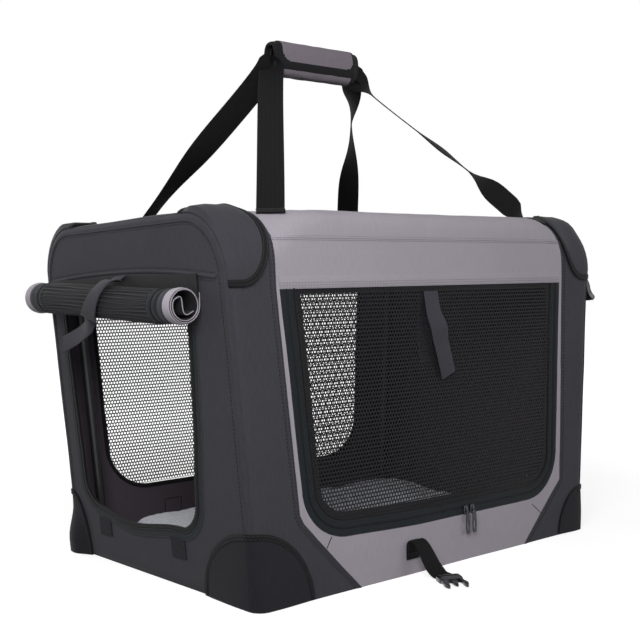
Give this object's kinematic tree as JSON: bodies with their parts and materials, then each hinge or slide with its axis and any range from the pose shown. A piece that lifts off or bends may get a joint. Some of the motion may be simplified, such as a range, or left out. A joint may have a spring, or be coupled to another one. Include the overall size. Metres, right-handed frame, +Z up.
{
  "type": "soft-sided pet carrier",
  "caption": "Soft-sided pet carrier on a steel tube frame, with a rolled-up end door, a zipped mesh front door, an end door, a fleece mat, carrying straps and a padded handle.",
  "frame": {"origin": "middle of the flat underside, on the ground", "axes": "+X along the length, away from the entry with the rolled-up door; -Y is the long front side with the zipped mesh door; +Z up"},
  "size_m": [0.806, 0.6964, 0.79],
  "materials": {
    "powder_coated_steel": "satin black powder coat",
    "woven_charcoal": "plain-woven coated polyester, matt",
    "woven_grey": "plain-woven coated polyester, matt",
    "knitted_mesh_black": "knitted hexagonal mesh, matt",
    "board_grey": "smooth",
    "fleece_pale": "short pile fleece",
    "webbing_black": "woven webbing",
    "moulded_plastic_black": "moulded, satin",
    "zinc_grey": "die-cast, dark nickel"
  },
  "bodies": {
    "shell": {"base_frame": "powder_coated_steel", "top_frame": "powder_coated_steel", "left_front_post": "powder_coated_steel", "left_rear_post": "powder_coated_steel", "right_front_post": "powder_coated_steel", "right_rear_post": "powder_coated_steel", "base_panel": "woven_charcoal", "floor_board": "board_grey", "front_wall": "woven_grey", "rear_wall": "woven_charcoal", "left_end_wall": "woven_charcoal", "right_end_wall": "woven_charcoal", "rear_window": "knitted_mesh_black", "top_panel": "woven_grey", "top_window": "knitted_mesh_black", "left_front_bottom_guard": "woven_charcoal", "left_rear_bottom_guard": "woven_charcoal", "right_front_bottom_guard": "woven_charcoal", "right_rear_bottom_guard": "woven_charcoal", "left_front_top_guard": "woven_charcoal", "left_rear_top_guard": "woven_charcoal", "right_front_top_guard": "woven_charcoal", "right_rear_top_guard": "woven_charcoal", "front_hook_patch": "webbing_black", "rear_hook_patch": "webbing_black", "front_header": "woven_grey", "right_header": "woven_charcoal", "inner_tie": "webbing_black", "front_carry_strap": "webbing_black", "rear_carry_strap": "webbing_black"},
    "mat": {"fleece_mat": "fleece_pale"},
    "front_door": {"front_door": "knitted_mesh_black"},
    "front_tie": {"front_tie": "webbing_black"},
    "left_slider": {"left_zip_slider": "zinc_grey"},
    "right_slider": {"right_zip_slider": "zinc_grey"},
    "left_pull": {"left_zip_pull": "zinc_grey"},
    "right_pull": {"right_zip_pull": "zinc_grey"},
    "right_end_door": {"right_end_door": "woven_charcoal"},
    "entry_roll": {"entry_door_roll": "knitted_mesh_black", "roll_strap": "webbing_black"},
    "handle": {"handle_wrap": "woven_grey"},
    "handle_flap": {"handle_flap": "woven_grey"},
    "front_clip": {"front_strap": "webbing_black", "front_buckle": "moulded_plastic_black"},
    "rear_clip": {"rear_strap": "webbing_black", "rear_buckle": "moulded_plastic_black"},
    "front_side_clip": {"front_side_strap": "webbing_black", "front_side_buckle": "moulded_plastic_black"},
    "rear_side_clip": {"rear_side_strap": "webbing_black", "rear_side_buckle": "moulded_plastic_black"}
  },
  "joints": [
    {"name": "mat_lift", "type": "slide", "parent": "shell", "child": "mat", "axis": [0, 0, 1], "range_m": [0, 0.06]},
    {"name": "front_door_hinge", "type": "hinge", "parent": "shell", "child": "front_door", "pos_m": [0, -0.245, 0.407], "axis": [-1, 0, 0], "range_deg": [0, 120]},
    {"name": "front_tie_hinge", "type": "hinge", "parent": "front_door", "child": "front_tie", "pos_m": [-0.013, -0.2471, 0.399], "axis": [-1, 0, 0], "range_deg": [0, 40]},
    {"name": "left_slider_travel", "type": "slide", "parent": "front_door", "child": "left_slider", "axis": [-1, 0, 0], "range_m": [0, 0.08]},
    {"name": "right_slider_travel", "type": "slide", "parent": "front_door", "child": "right_slider", "axis": [1, 0, 0], "range_m": [0, 0.12]},
    {"name": "left_pull_hinge", "type": "hinge", "parent": "left_slider", "child": "left_pull", "pos_m": [0.051, -0.2508, 0.0737], "axis": [-1, 0, 0], "range_deg": [0, 140]},
    {"name": "right_pull_hinge", "type": "hinge", "parent": "right_slider", "child": "right_pull", "pos_m": [0.065, -0.2508, 0.0737], "axis": [-1, 0, 0], "range_deg": [0, 140]},
    {"name": "right_end_door_hinge", "type": "hinge", "parent": "shell", "child": "right_end_door", "pos_m": [0.36231, 0, 0.412], "axis": [0, -1, 0], "range_deg": [0, 110]},
    {"name": "entry_roll_hinge", "type": "hinge", "parent": "shell", "child": "entry_roll", "pos_m": [-0.36434, 0.02, 0.434], "axis": [0, 1, 0], "range_deg": [0, 40]},
    {"name": "handle_drop", "type": "slide", "parent": "shell", "child": "handle", "axis": [0, 0, -1], "range_m": [0, 0.215], "deforming": ["front_carry_strap", "rear_carry_strap"]},
    {"name": "handle_flap_hinge", "type": "hinge", "parent": "handle", "child": "handle_flap", "pos_m": [-0.015, 0, 0.79], "axis": [-1, 0, 0], "range_deg": [0, 120]},
    {"name": "front_clip_hinge", "type": "hinge", "parent": "shell", "child": "front_clip", "pos_m": [-0.06, -0.2471, 0.052], "axis": [-1, 0, 0], "range_deg": [0, 80]},
    {"name": "rear_clip_hinge", "type": "hinge", "parent": "shell", "child": "rear_clip", "pos_m": [-0.15, 0.2471, 0.052], "axis": [1, 0, 0], "range_deg": [0, 80]},
    {"name": "front_side_clip_hinge", "type": "hinge", "parent": "shell", "child": "front_side_clip", "pos_m": [0.36677, -0.205, 0.442], "axis": [0, -1, 0], "range_deg": [0, 70]},
    {"name": "rear_side_clip_hinge", "type": "hinge", "parent": "shell", "child": "rear_side_clip", "pos_m": [0.36677, 0.205, 0.442], "axis": [0, -1, 0], "range_deg": [0, 70]}
  ]
}
